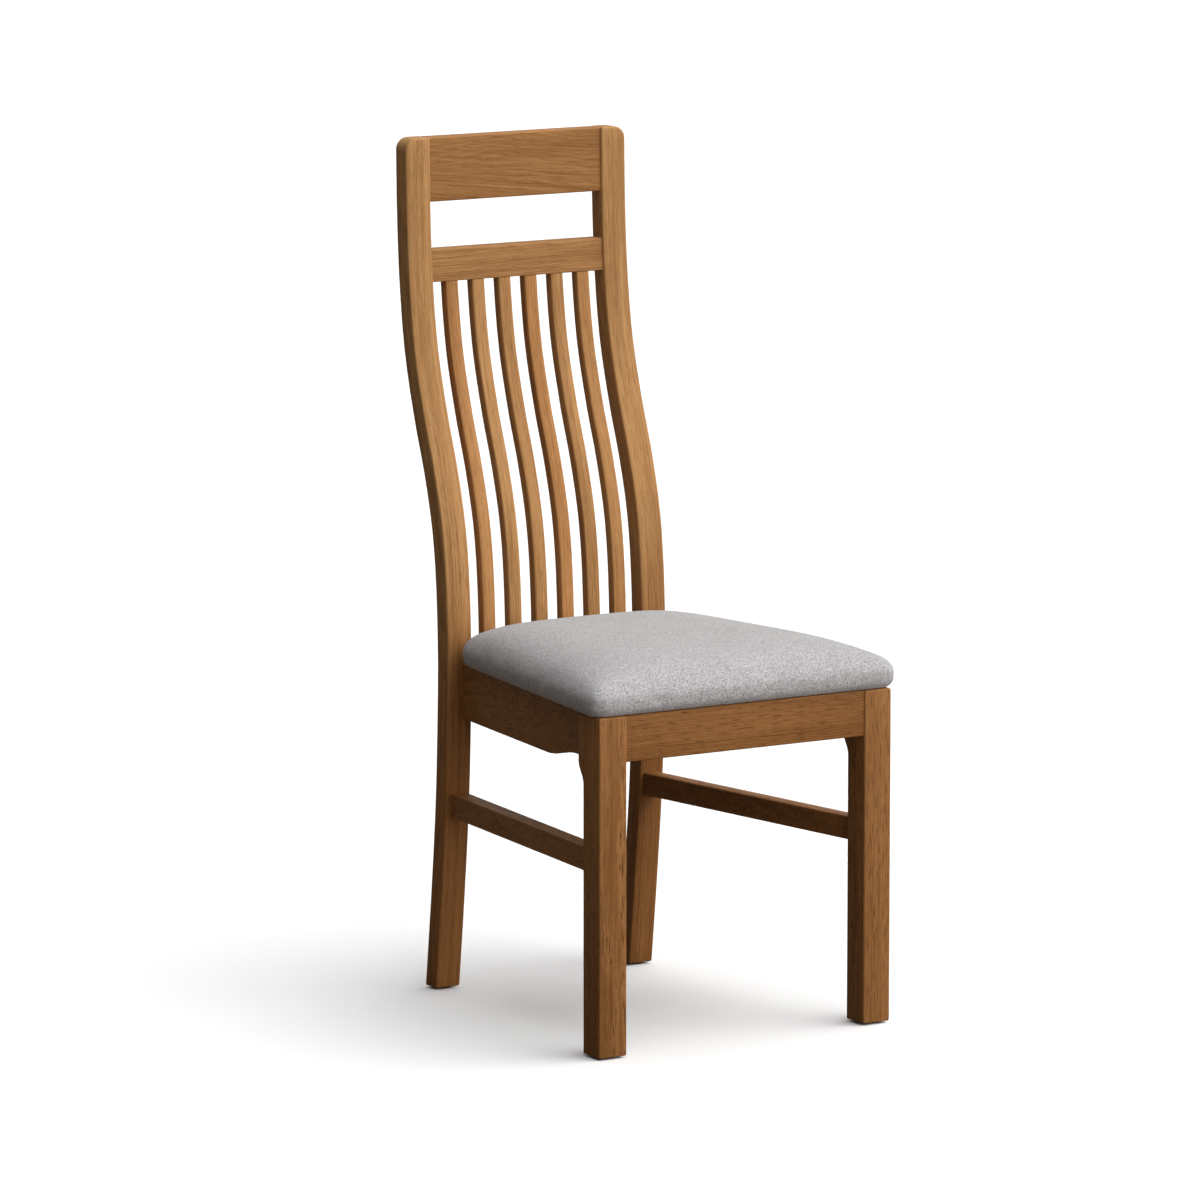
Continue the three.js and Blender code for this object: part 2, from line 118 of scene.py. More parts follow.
class ChairTimberSettings(bpy.types.PropertyGroup):
    """Sizes and colours of the timber"""

    arris: length("Arris", "Radius of the rounded long edges", 0.0022)
    leg_arris: length("Leg arris", "Radius of the rounded edges of the legs", 0.0026)
    post_corner: length("Post corner", "Radius of the outer corner at the top of a post", 0.016)
    leg_swelling: length("Leg swelling", "How far a front leg swells back to its rail", 0.0115)
    rail_rise: length("Rail rise", "Rise of a side rail's lower edge to the front leg", 0.013)
    pale: colour("Pale wood", "Colour of the pale early wood", (0.565, 0.312, 0.127))
    dark: colour("Dark wood", "Colour of the dark late wood", (0.19, 0.075, 0.016))
    pore: colour("Pores", "Colour of the open pores", (0.075, 0.026, 0.006))


class ChairPadSettings(bpy.types.PropertyGroup):
    """Shape and cloth of the seat pad"""

    shoulder: length("Shoulder", "Radius of the pad's soft upper edge", 0.025)
    foot: length("Foot", "Radius of the pad's lower edge", 0.009)
    corner: length("Corner", "Radius of the pad's corners in plan", 0.026)
    crown: length("Crown", "How far the middle stands above the shoulders", 0.027)
    voxel: length("Cloth mesh", "Size of the cloth's mesh", 0.006, 0.003)
    swell_limit: length("Swell limit", "How far the pressure may move the cloth", 0.004)
    foam_give: length("Foam give", "How far the cloth may sink into the foam", 0.0008)
    foam_hold: FloatProperty(
        name="Foam hold", description="How firmly the foam holds the cloth to its shape",
        default=0.15, min=0.0, max=1.0,
    )
    slack_cloth: FloatProperty(
        name="Slack cloth", description="Spare cloth, as a part of its length", default=0.004,
        min=0.0, max=0.2, subtype="FACTOR",
    )
    pressure: FloatProperty(
        name="Pressure", description="Pressure of the filling on the cloth", default=6.0, min=0.0
    )
    steps: IntProperty(
        name="Steps", description="Frames that the cloth is given to settle", default=20, min=2
    )
    light: colour("Light yarn", "Colour of the light yarn", (0.605, 0.602, 0.62))
    grey: colour("Grey yarn", "Colour of the darker yarn", (0.205, 0.203, 0.212))


class ChairStageSettings(bpy.types.PropertyGroup):
    """Camera and light"""

    lens: FloatProperty(
        name="Lens", description="Focal length in millimetres", default=237.954, min=20.0
    )
    camera_height: length("Camera height", "Height of the camera above the floor", 2.0908)
    key: FloatProperty(name="Overhead light", description="Strength of the overhead light",
                       default=1.15, min=0.0)
    front: FloatProperty(name="Front light", description="Strength of the light from the front",
                         default=2.25, min=0.0)
    back: FloatProperty(name="Back light", description="Strength of the light from behind",
                        default=0.6, min=0.0)
    room: FloatProperty(name="Room light", description="Strength of the room's even light",
                        default=0.08, min=0.0)
    floor: colour("Floor", "Colour of the floor", (0.955, 0.973, 0.99))


# ---------------------------------------------------------------- curve of the back

def back_line(z):
    """Distance of a rear leg's front edge behind the front legs' front face, at height z."""
    last = len(BACK_LINE) - 1
    i = 0
    while i < last - 1 and z > BACK_LINE[i + 1][0]:
        i += 1

    def slope(k):
        (za, ya), (zb, yb) = BACK_LINE[max(k - 1, 0)], BACK_LINE[min(k + 1, last)]
        return (yb - ya) / (zb - za)

    (z0, y0), (z1, y1) = BACK_LINE[i], BACK_LINE[i + 1]
    h, t = z1 - z0, (z - z0) / (z1 - z0)
    return (
        (2 * t**3 - 3 * t**2 + 1) * y0 + (t**3 - 2 * t**2 + t) * h * slope(i)
        + (3 * t**2 - 2 * t**3) * y1 + (t**3 - t**2) * h * slope(i + 1)
    )


def back_at(z, set_back=0.0):
    """y in the chair's frame of a line set back from a rear leg's front edge at height z."""
    slope = (back_line(z + 0.001) - back_line(z - 0.001)) / 0.002
    return FRONT_Y + back_line(z) + set_back * math.hypot(1, slope)


# ---------------------------------------------------------------- mesh making

def piece_from(bm, name, materials, rides="root", smooth_angle=32.0):
    """Turns a bmesh into a finished piece that rides on a body."""
    bmesh.ops.remove_doubles(bm, verts=bm.verts, dist=1e-6)
    bmesh.ops.recalc_face_normals(bm, faces=bm.faces)
    mesh = bpy.data.meshes.new(name)
    bm.to_mesh(mesh)
    bm.free()
    for material in materials:
        mesh.materials.append(material)
    piece = bpy.data.objects.new(name, mesh)
    bpy.context.scene.collection.objects.link(piece)
    mesh.shade_smooth()
    mesh.set_sharp_from_angle(angle=math.radians(smooth_angle))
    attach(piece, rides)
    return piece


def follow_bend(piece):
    """Notes where each point of a bent board was before it was bent, for its grain."""
    straight = piece.data.attributes.new(STRAIGHT_BOARD, "FLOAT_VECTOR", "POINT")
    for v, place in zip(piece.data.vertices, straight.data):
        place.vector = (v.co.x, v.co.y - back_at(v.co.z), v.co.z)


def block(x0, x1, y0, y1, z0, z1):
    """A bmesh block between two corners."""
    bm = bmesh.new()
    bmesh.ops.create_cube(bm, size=1.0)
    bmesh.ops.scale(bm, vec=(x1 - x0, y1 - y0, z1 - z0), verts=bm.verts)
    bmesh.ops.translate(bm, vec=((x0 + x1) / 2, (y0 + y1) / 2, (z0 + z1) / 2), verts=bm.verts)
    return bm


def cut_levels(bm, levels, axis):
    """Cuts the mesh across at each level along an axis."""
    normal = Vector((0, 0, 0))
    normal[axis] = 1
    for level in levels:
        bmesh.ops.bisect_plane(
            bm, geom=bm.verts[:] + bm.edges[:] + bm.faces[:], dist=1e-7,
            plane_co=normal * level, plane_no=normal,
        )


def round_edges(bm, edges, radius, segments=3):
    """Rounds the given edges, and marks them as worn."""
    worn = bm.loops.layers.float.get(WORN_EDGE) or bm.loops.layers.float.new(WORN_EDGE)
    made = bmesh.ops.bevel(
        bm, geom=edges, offset=radius, offset_type="OFFSET", affect="EDGES", segments=segments,
        profile=0.5, material=-1, clamp_overlap=True, loop_slide=True,
    )
    for face in made["faces"]:
        for loop in face.loops:
            loop[worn] = 1.0


def sharp_edges(bm, keep=lambda edge: True, angle=35.0):
    """The mesh's edges that turn by more than an angle and that pass a test."""
    limit = math.radians(angle)
    return [e for e in bm.edges if e.calc_face_angle(0.0) > limit and keep(e)]


def runs_along(axis, least=0.01):
    """A test for edges that reach further than a least length along an axis."""
    return lambda e: abs(e.verts[0].co[axis] - e.verts[1].co[axis]) > least


def smooth_step(t):
    """An eased step from 0 to 1."""
    t = min(max(t, 0.0), 1.0)
    return t * t * (3 - 2 * t)


def bent_strip(x0, x1, z0, z1, set_back, thick, steps):
    """A block that follows the curve of the back between two heights."""
    bm = block(x0, x1, 0, 1, z0, z1)
    cut_levels(bm, [z0 + (z1 - z0) * i / steps for i in range(1, steps)], 2)
    for v in bm.verts:
        v.co.y = back_at(v.co.z, set_back + thick if v.co.y > 0.5 else set_back)
    return bm


# ---------------------------------------------------------------- shader helpers

def new_group(name, inputs):
    """An empty finish group: it takes a vector and inputs of (name, type, default).

    Every finish group gives a colour, a roughness and a height."""
    group = bpy.data.node_groups.new(name, "ShaderNodeTree")
    add = group.interface.new_socket
    add("Vector", in_out="INPUT", socket_type="NodeSocketVector")
    for label, kind, default in inputs:
        socket = add(label, in_out="INPUT", socket_type="NodeSocket" + kind)
        socket.default_value = default
    for label, kind in (("Color", "Color"), ("Roughness", "Float"), ("Height", "Float")):
        add(label, in_out="OUTPUT", socket_type="NodeSocket" + kind)
    return group


class Nodes:
    """Adds and joins nodes in one tree."""

    def __init__(self, tree):
        self.tree = tree

    def add(self, kind, values=None, **settings):
        """Adds a node with its settings and the values of its inputs."""
        node = self.tree.nodes.new(kind)
        for key, value in settings.items():
            setattr(node, key, value)
        for key, value in (values or {}).items():
            self.set(node, key, value)
        return node

    def set(self, node, key, value):
        """Sets an input to a value, or joins it to another node's output."""
        socket = node.inputs[key]
        if isinstance(value, bpy.types.NodeSocket):
            self.tree.links.new(value, socket)
        else:
            socket.default_value = value

    def math(self, operation, a, b=0.0, clamp=False):
        node = self.add("ShaderNodeMath", {0: a, 1: b}, operation=operation, use_clamp=clamp)
        return node.outputs[0]

    def plus(self, a, b, clamp=False):
        return self.math("ADD", a, b, clamp)

    def times(self, a, b):
        return self.math("MULTIPLY", a, b)

    def scaled(self, vector, scale):
        """The vector multiplied by another, part by part."""
        node = self.add("ShaderNodeVectorMath", {0: vector, 1: scale}, operation="MULTIPLY")
        return node.outputs[0]

    def noise(self, vector, scale, detail=2.0, roughness=0.5, distortion=0.0):
        node = self.add(
            "ShaderNodeTexNoise",
            {"Vector": vector, "Scale": scale, "Detail": detail, "Roughness": roughness,
             "Distortion": distortion},
        )
        return node.outputs["Fac"]

    def span(self, value, low, high, to_low=0.0, to_high=1.0, smooth=False):
        """Maps a span of values to another, clamped."""
        node = self.add(
            "ShaderNodeMapRange",
            {"Value": value, "From Min": low, "From Max": high, "To Min": to_low,
             "To Max": to_high},
            interpolation_type="SMOOTHSTEP" if smooth else "LINEAR",
        )
        return node.outputs["Result"]

    def mix(self, factor, a, b):
        """Mixes two colours."""
        node = self.add("ShaderNodeMix", data_type="RGBA")
        for key, value in ((0, factor), (6, a), (7, b)):
            self.set(node, key, value)
        return node.outputs[2]

    def give(self, *results):
        """Joins a finish group's colour, roughness and height to its outputs."""
        out = self.add("NodeGroupOutput")
        for key, value in zip(("Color", "Roughness", "Height"), results):
            self.set(out, key, value)


def rgba(c):
    """The colour as four numbers, opaque."""
    return (*c[:3], 1.0)


def plain_material(name):
    """A material, its node adder and its shader."""
    material = bpy.data.materials.new(name)
    material.use_nodes = True
    return material, Nodes(material.node_tree), material.node_tree.nodes["Principled BSDF"]


def dress(n, shader, look, strength, depth):
    """Joins a finish group's colour, roughness and relief to the shader."""
    bump = n.add("ShaderNodeBump", {"Strength": strength, "Distance": depth,
                                    "Height": look.outputs["Height"]})
    n.set(shader, "Base Color", look.outputs["Color"])
    n.set(shader, "Roughness", look.outputs["Roughness"])
    n.set(shader, "Normal", bump.outputs[0])


# ---------------------------------------------------------------- timber

def timber_group():
    """Grain of open-pored timber. Vector: metres in the board, with Z along the grain."""
    name = "Open-pored timber"
    if name in bpy.data.node_groups:
        return bpy.data.node_groups[name]
    s = bpy.context.scene.chair_timber
    group = new_group(name, (
        ("Worn", "Float", 0.0), ("Figure", "Float", 0.5), ("Rings", "Float", 0.3),
        ("Ring width", "Float", 0.003), ("Pores", "Float", 0.5), ("Pale", "Color", rgba(s.pale)),
        ("Dark", "Color", rgba(s.dark)), ("Pore colour", "Color", rgba(s.pore)),
    ))
    n = Nodes(group)
    source = n.add("NodeGroupInput").outputs
    vector = source["Vector"]
    centred = lambda value, size: n.times(n.math("SUBTRACT", value, 0.5), size)
    grain = lambda across, along, detail=2.0, rough=0.55: n.noise(
        n.scaled(vector, (across, across, along)), 1.0, detail, rough)

    # growth rings round the pith, wandering slowly along the board
    wander = n.times(centred(grain(8.0, 1.9), 1.0), source["Figure"])
    parts = n.add("ShaderNodeSeparateXYZ", {0: vector}).outputs
    round_x = n.plus(parts["X"], n.times(wander, 0.11))
    round_y = n.plus(parts["Y"], n.times(wander, 0.045))
    radius = n.math("SQRT", n.plus(n.times(round_x, round_x), n.times(round_y, round_y)))
    radius = n.plus(radius, centred(grain(55.0, 5.0, 2.0, 0.6), 0.004))
    count = n.math("DIVIDE", radius, source["Ring width"])
    along_ring = n.math("FRACT", count)
    late = n.times(n.span(along_ring, 0.1, 0.8, smooth=True),
                   n.span(along_ring, 0.84, 1.0, 1.0, 0.0, smooth=True))
    ring_value = n.add("ShaderNodeTexWhiteNoise", {"W": n.math("FLOOR", count)},
                       noise_dimensions="1D").outputs["Value"]
    late = n.times(late, n.plus(0.45, n.times(ring_value, 0.75)))

    # long streaks, fine fibre and broad shade
    shade = n.plus(n.times(late, source["Rings"]), centred(grain(7.0, 2.2, 2.0, 0.5), 0.55))
    shade = n.plus(shade, centred(grain(120.0, 2.4, 3.0, 0.6), 0.85))
    shade = n.plus(shade, centred(grain(480.0, 7.0, 3.0, 0.65), 0.85))
    fibre = grain(1500.0, 26.0, 2.0, 0.6)
    shade = n.plus(n.plus(shade, centred(fibre, 0.85)), 0.27, clamp=True)

    # open pores: dark dashes, thickest in the early wood, and finer ones all over
    early = n.span(along_ring, 0.0, 0.5, 1.0, 0.35, smooth=True)
    dash = n.times(n.span(grain(720.0, 52.0, 1.5, 0.5), 0.53, 0.66), early)
    pore = n.times(n.span(grain(2600.0, 95.0, 1.0, 0.5), 0.60, 0.70), early)

    # rays: small pale flecks
    flecks = n.noise(n.scaled(vector, (760.0, 230.0, 120.0)), 1.0, 1.0, 0.4)

    base = n.mix(shade, source["Pale"], source["Dark"])
    base = n.mix(n.span(flecks, 0.66, 0.78, 0.0, 0.30), base, source["Pale"])
    base = n.mix(n.times(dash, source["Pores"]), base, source["Pore colour"])
    base = n.mix(n.times(pore, source["Pores"]), base, source["Pore colour"])
    rubbed = n.times(source["Worn"], n.span(grain(160.0, 30.0, 2.0, 0.6), 0.3, 0.7, 0.15, 0.55))
    base = n.mix(rubbed, base, source["Pale"])

    pits = n.math("MAXIMUM", n.times(dash, 0.6), pore)
    rough = n.plus(n.span(shade, 0.0, 1.0, 0.47, 0.56), n.times(pits, 0.22))
    height = n.math("SUBTRACT", n.times(fibre, 0.3), pits)
    n.give(base, rough, height)
    return group


def toned(tone, red=0.0):
    """Pale and dark colours of a board: tone 0 is the palest board, 1 the deepest."""
    s = bpy.context.scene.chair_timber
    pale = Vector(s.pale).lerp(Vector(s.dark), 0.62 * tone)
    dark = Vector(s.dark) * (1 - 0.35 * tone)
    blush = Vector((1.0 + 0.25 * red, 1.0 - 0.35 * red, 1.0 - 0.7 * red))
    return [rgba([a * b for a, b in zip(c, blush)]) for c in (pale, dark)]


def timber_material(name, along="Z", turn=0.0, lean=0.0, offset=(0.0, 0.0, 0.0), tone=0.3,
                    red=0.0, figure=0.5, rings=0.3, ring_width=0.003, pale=None, dark=None,
                    foot=None, pores=0.4, bent=False):
    """Oiled timber with its grain along an axis, turned about the vertical or leaned.

    bent takes the place in the board from before it was bent. foot is the tone and the
    redness of an upright below the seat, a painted shade of the seat that fades out upwards."""
    material, n, shader = plain_material(name)
    if bent:
        place = n.add("ShaderNodeAttribute", attribute_name=STRAIGHT_BOARD).outputs["Vector"]
    else:
        place = n.add("ShaderNodeTexCoord").outputs["Object"]
    if turn:
        place = n.add("ShaderNodeMapping", {"Vector": place, "Rotation": (0, 0, turn)}).outputs[0]
    rotation = {"Z": (0, lean, 0), "X": (0, lean - math.pi / 2, 0),
                "Y": (math.pi / 2 + lean, 0, 0)}[along]
    board = n.add("ShaderNodeMapping", {"Vector": place, "Location": offset, "Rotation": rotation})
    grain = n.add("ShaderNodeGroup", node_tree=timber_group())
    pale, dark = (rgba(pale), rgba(dark)) if pale else toned(tone, red)
    # Painted shade: below the seat the upright takes the deeper foot tone, standing for the seat's
    # shadow.
    if foot:
        upward = n.add("ShaderNodeSeparateXYZ", {0: place}).outputs["Z"]
        upper = n.span(upward, *PAINTED_SHADE_HEIGHTS, smooth=True)
        pale, dark = (n.mix(upper, a, b) for a, b in zip(toned(*foot), (pale, dark)))
    edge = n.add("ShaderNodeAttribute", attribute_name=WORN_EDGE).outputs["Fac"]
    for key, value in (("Vector", board.outputs[0]), ("Worn", edge), ("Figure", figure),
                       ("Rings", rings), ("Ring width", ring_width), ("Pale", pale),
                       ("Dark", dark), ("Pores", pores)):
        n.set(grain, key, value)
    dress(n, shader, grain, 0.45, 0.0006)
    shader.inputs["Specular IOR Level"].default_value = 0.10
    return material


class CHAIR_OT_rear_legs(bpy.types.Operator):
    """Make the two curved rear legs, which run up as the posts of the back"""

    bl_idname = "chair.rear_legs"
    bl_label = "Rear legs"

    def execute(self, context):
        s = context.scene.chair_timber
        for side, sign in SIDES:
            lo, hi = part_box(f"rear_leg_{side}")
            bm = bent_strip(lo.x, hi.x, lo.z, hi.z, *REAR_LEG)
            outer = lo.x if sign < 0 else hi.x
            top = [e for e in bm.edges
                   if all(abs(v.co.x - outer) < 1e-6 and abs(v.co.z - hi.z) < 1e-6
                          for v in e.verts)]
            round_edges(bm, top, s.post_corner, 8)
            round_edges(bm, sharp_edges(bm), s.leg_arris)
            # foot darkens the leg below the seat: painted shade of the seat.
            material = timber_material(
                f"Timber, rear leg {side}", offset=(0.31 * sign, 0.02, 0.3 * sign),
                tone=0.04, figure=0.35, rings=0.22, foot=(0.88, 0.2), bent=True,
            )
            leg = piece_from(bm, f"curved_rear_leg_{side}", [material])
            follow_bend(leg)
            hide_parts(f"rear_leg_{side}")
        return {"FINISHED"}


class CHAIR_OT_front_legs(bpy.types.Operator):
    """Make the two square front legs, swelled at the back where the side rails join"""

    bl_idname = "chair.front_legs"
    bl_label = "Front legs"

    def execute(self, context):
        s = context.scene.chair_timber
        low, high = SWELLING
        for side, sign in SIDES:
            lo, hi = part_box(f"front_leg_{side}")
            back = hi.y - s.leg_swelling
            bm = block(lo.x, hi.x, lo.y, back, lo.z, hi.z)
            cut_levels(bm, [low + (high - low) * i / 8 for i in range(9)], 2)
            for v in bm.verts:
                if v.co.y > back - 1e-6:
                    v.co.y += s.leg_swelling * smooth_step((v.co.z - low) / (high - low))
            round_edges(bm, sharp_edges(bm), s.leg_arris)
            material = timber_material(
                f"Timber, front leg {side}", offset=(0.22, 0.12 + 0.07 * sign, 0.6 * sign),
                tone=0.74, red=0.14, figure=0.25, rings=0.25, pores=0.85,
            )
            leg = piece_from(bm, f"square_front_leg_{side}", [material])
            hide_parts(f"front_leg_{side}")
        return {"FINISHED"}


class CHAIR_OT_back_rails(bpy.types.Operator):
    """Make the crest rail and the upper back rail"""

    bl_idname = "chair.back_rails"
    bl_label = "Back rails"

    def execute(self, context):
        s = context.scene.chair_timber
        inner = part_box("rear_leg_right")[0].x
        looks = {
            "crest_rail": dict(offset=(0.06, 0.03, 0.0), lean=-0.12, tone=0.50, red=0.1,
                               figure=1.5, rings=0.26, ring_width=0.0045),
            "upper_back_rail": dict(offset=(0.17, 0.05, 0.3), tone=0.43, red=0.05,
                                    figure=0.3),
        }
        for node, look in looks.items():
            lo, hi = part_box(node)
            bm = bent_strip(-inner, inner, lo.z, hi.z, *BACK_RAIL)
            round_edges(bm, sharp_edges(bm, runs_along(0)), s.arris)
            material = timber_material(f"Timber, {node.replace('_', ' ')}", along="X", **look)
            rail = piece_from(bm, f"shaped_{node}", [material])
            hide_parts(node)
        return {"FINISHED"}


class CHAIR_OT_back_slats(bpy.types.Operator):
    """Make the upright slats, which follow the curve of the posts"""

    bl_idname = "chair.back_slats"
    bl_label = "Back slats"

    def execute(self, context):
        s = context.scene.chair_timber
        low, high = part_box("rear_seat_rail")[1].z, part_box("upper_back_rail")[0].z
        for i in range(1, 7):
            lo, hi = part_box(f"back_slat_{i}")
            bm = bent_strip(lo.x, hi.x, low, high, *BACK_SLAT)
            round_edges(bm, sharp_edges(bm, runs_along(2, 0.004)), s.arris)
            material = timber_material(
                f"Timber, slat {i}", offset=(0.13 + 0.061 * (i * 5 % 7), 0.02 * i, 0.37 * i),
                tone=(0.14, 0.02, 0.12, 0.05, 0.16, 0.03)[i - 1],
                red=(0.12, 0.0, 0.04, 0.16, 0.02, 0.08)[i - 1], figure=0.3, rings=0.25,
                bent=True,
            )
            slat = piece_from(bm, f"curved_back_slat_{i}", [material])
            follow_bend(slat)
            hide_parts(f"back_slat_{i}")
        return {"FINISHED"}


def add_ledge(bm, lo, hi):
    """Draws the top of the rear rail forward between the side rails, under the pad's edge."""
    half, deep = LEDGE_HALF, LEDGE_HEIGHT
    for point, normal in (((-half, 0, 0), (1, 0, 0)), ((half, 0, 0), (1, 0, 0)),
                          ((0, 0, hi.z - deep), (0, 0, 1))):
        bmesh.ops.bisect_plane(bm, geom=bm.verts[:] + bm.edges[:] + bm.faces[:], dist=1e-6,
                               plane_co=point, plane_no=normal)
    centre = lambda f: f.calc_center_median()
    face = [f for f in bm.faces if abs(centre(f).y - lo.y) < 1e-5
            and abs(centre(f).x) < half and centre(f).z > hi.z - deep]
    moved = bmesh.ops.extrude_face_region(bm, geom=face)["geom"]
    bmesh.ops.delete(bm, geom=face, context="FACES")
    for v in (v for v in moved if isinstance(v, bmesh.types.BMVert)):
        v.co.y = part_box("seat_cover")[1].y - LEDGE_REACH


class CHAIR_OT_cross_rails(bpy.types.Operator):
    """Make the front and rear rails of the seat frame"""

    bl_idname = "chair.cross_rails"
    bl_label = "Front and rear seat rails"

    def execute(self, context):
        s = context.scene.chair_timber
        legs = {"front_seat_rail": "front_leg_right", "rear_seat_rail": "rear_leg_right"}
        for node, leg in legs.items():
            lo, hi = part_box(node)
            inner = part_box(leg)[0].x
            bm = block(-inner, inner, lo.y, hi.y, lo.z, hi.z)
            if node == "rear_seat_rail":
                add_ledge(bm, lo, hi)
            round_edges(bm, sharp_edges(bm, runs_along(0)), s.arris)
            # The deep tone is partly the wood's own and partly painted shade under the seat.
            material = timber_material(
                f"Timber, {node.replace('_', ' ')}", along="X", offset=(0.20, 0.14, 0.1),
                tone=1.0, red=0.16, figure=0.2, rings=0.22, pores=0.9,
            )
            rail = piece_from(bm, f"eased_{node}", [material])
            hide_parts(node)
        return {"FINISHED"}


def slanted_rail(sign, ends, outer, width, low, high):
    """A rail between two depths whose outer face runs from one half-width to another."""
    (y0, y1), (x0, x1) = ends, outer
    bm = block(0, 1, y0, y1, low, high)
    for v in bm.verts:
        t = (v.co.y - y0) / (y1 - y0)
        x = x0 + (x1 - x0) * t - width * (1 - v.co.x)
        v.co.x = sign * x
    return bm


class CHAIR_OT_side_rails(bpy.types.Operator):
    """Make the side rails of the seat frame, their lower edges rising to the front legs"""

    bl_idname = "chair.side_rails"
    bl_label = "Side seat rails"

    def execute(self, context):
        s = context.scene.chair_timber
        # taper in plan, depth and half-width at the rear end, and thickness
        slope, rear, out_rear, thick = 0.148, 0.446, 0.1444, 0.020
        # depths between which the lower edge rises
        sweep = (0.086, 0.178)
        for side, sign in SIDES:
            lo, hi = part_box(f"side_seat_rail_{side}")
            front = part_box(f"front_leg_{side}")[1].y - FRONT_Y
            bm = slanted_rail(
                sign, (FRONT_Y + front, FRONT_Y + rear),
                (out_rear + slope * (rear - front), out_rear),
                thick * math.hypot(1, slope), lo.z, hi.z,
            )
            cut_levels(bm, [FRONT_Y + sweep[0] + (sweep[1] - sweep[0]) * i / 14
                            for i in range(15)], 1)
            cut_levels(bm, [lo.z + (hi.z - lo.z) * i / 4 for i in (1, 2, 3)], 2)
            for v in bm.verts:
                y = v.co.y - FRONT_Y
                if v.co.z < lo.z + 1e-6:
                    reach = (y - sweep[0]) / (sweep[1] - sweep[0])
                    v.co.z += s.rail_rise * (1 - smooth_step(reach))
                if y > rear - 1e-6:
                    v.co.y = back_at(v.co.z)
            round_edges(bm, sharp_edges(bm, runs_along(1, 0.003)), s.arris)
            material = timber_material(
                f"Timber, side rail {side}", along="Y", turn=sign * math.atan(slope),
                offset=(0.24, 0.11, 0.5 * sign), tone=0.62, red=0.14, figure=0.3, pores=0.85,
            )
            rail = piece_from(bm, f"swept_side_rail_{side}", [material])
            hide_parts(f"side_seat_rail_{side}")
        return {"FINISHED"}


class CHAIR_OT_stretchers(bpy.types.Operator):
    """Make the side stretchers between the front and rear legs"""

    bl_idname = "chair.stretchers"
    bl_label = "Side stretchers"

    def execute(self, context):
        s = context.scene.chair_timber
        # depths of the two ends, half-widths there, and thickness
        front, rear = 0.040, 0.453
        outer, thick = (0.2088, 0.1576), 0.022
        for side, sign in SIDES:
            lo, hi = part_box(f"side_stretcher_{side}")
            bm = slanted_rail(sign, (FRONT_Y + front, FRONT_Y + rear), outer, thick, lo.z, hi.z)
            for v in bm.verts:
                if v.co.y > FRONT_Y + rear - 1e-6:
                    v.co.y = back_at(v.co.z)
            round_edges(bm, sharp_edges(bm, runs_along(1)), s.arris)
            turn = math.atan((outer[0] - outer[1]) / (rear - front))
            # The deep tone is partly the wood's own and partly painted shade under the seat.
            material = timber_material(
                f"Timber, stretcher {side}", along="Y", turn=sign * turn,
                offset=(0.15, 0.19, 0.8 * sign), tone=0.90, red=0.18, figure=0.2, rings=0.2,
                pores=0.8,
            )
            bar = piece_from(bm, f"eased_side_stretcher_{side}", [material])
            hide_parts(f"side_stretcher_{side}")
        return {"FINISHED"}


# ---------------------------------------------------------------- seat pad

def melange_group():
    """Cloth of light and grey yarns. Vector in metres."""
    name = "Melange cloth"
    if name in bpy.data.node_groups:
        return bpy.data.node_groups[name]
    s = bpy.context.scene.chair_pad
    group = new_group(name, (
        ("Light yarn", "Color", rgba(s.light)), ("Grey yarn", "Color", rgba(s.grey)),
    ))
    n = Nodes(group)
    source = n.add("NodeGroupInput").outputs
    vector = source["Vector"]
    yarn = n.noise(vector, 470.0, 2.0, 0.6, 0.5)
    fluff = n.noise(vector, 1500.0, 2.0, 0.7)
    slub = n.noise(vector, 150.0, 3.0, 0.6)
    cloud = n.noise(vector, 22.0, 2.0, 0.5)
    dark = n.span(yarn, 0.34, 0.66)
    dark = n.plus(n.times(dark, 0.72), n.times(slub, 0.24))
    dark = n.plus(dark, n.times(n.math("SUBTRACT", fluff, 0.5), 0.6))
    shade = n.times(n.math("SUBTRACT", cloud, 0.5), 0.15)
    dark = n.plus(dark, shade, clamp=True)
    height = n.plus(n.times(yarn, 0.8), n.times(fluff, 0.35))
    n.give(n.mix(dark, source["Light yarn"], source["Grey yarn"]),
           n.span(dark, 0.0, 1.0, 0.86, 0.95), height)
    return group


def cover_material():
    """Soft melange cloth with a faint sheen."""
    material, n, shader = plain_material("Pad cloth")
    place = n.add("ShaderNodeTexCoord").outputs["Object"]
    cloth = n.add("ShaderNodeGroup", {"Vector": place}, node_tree=melange_group())
    dress(n, shader, cloth, 0.8, 0.0014)
    shader.inputs["Specular IOR Level"].default_value = 0.15
    shader.inputs["Sheen Weight"].default_value = 0.25
    shader.inputs["Sheen Roughness"].default_value = 0.5
    return material


class PadPlan:
    """Outline of the pad seen from above: straight tapering sides and round corners."""

    def __init__(self, inset=0.0):
        lo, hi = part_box("seat_cover")
        self.front, self.rear = lo.y + inset, hi.y - inset
        self.taper = (PAD_HALF_FRONT - PAD_HALF_REAR) / (hi.y - lo.y)
        self.base, self.inset, self.origin = PAD_HALF_FRONT, inset, lo.y

    def half(self, y):
        """Half the width at a depth."""
        return self.base - self.taper * (y - self.origin) - self.inset * math.hypot(1, self.taper)

    def across(self, x, y):
        """Place within the outline, each part from -1 to 1."""
        middle = (self.front + self.rear) / 2
        return x / self.half(y), (y - middle) / (self.rear - middle)


def pad_blank(s, plan, low, top):
    """The pad's plan carried up, with its corners and rims rounded."""
    bm = block(-1, 1, plan.front, plan.rear, low, top)
    for v in bm.verts:
        v.co.x *= plan.half(v.co.y)
    round_edges(bm, sharp_edges(bm, runs_along(2)), s.corner, 8)
    rim = lambda z: lambda e: all(abs(v.co.z - z) < 1e-6 for v in e.verts)
    round_edges(bm, sharp_edges(bm, rim(top)), s.shoulder, 7)
    round_edges(bm, sharp_edges(bm, rim(low)), s.foot, 4)
    return bm


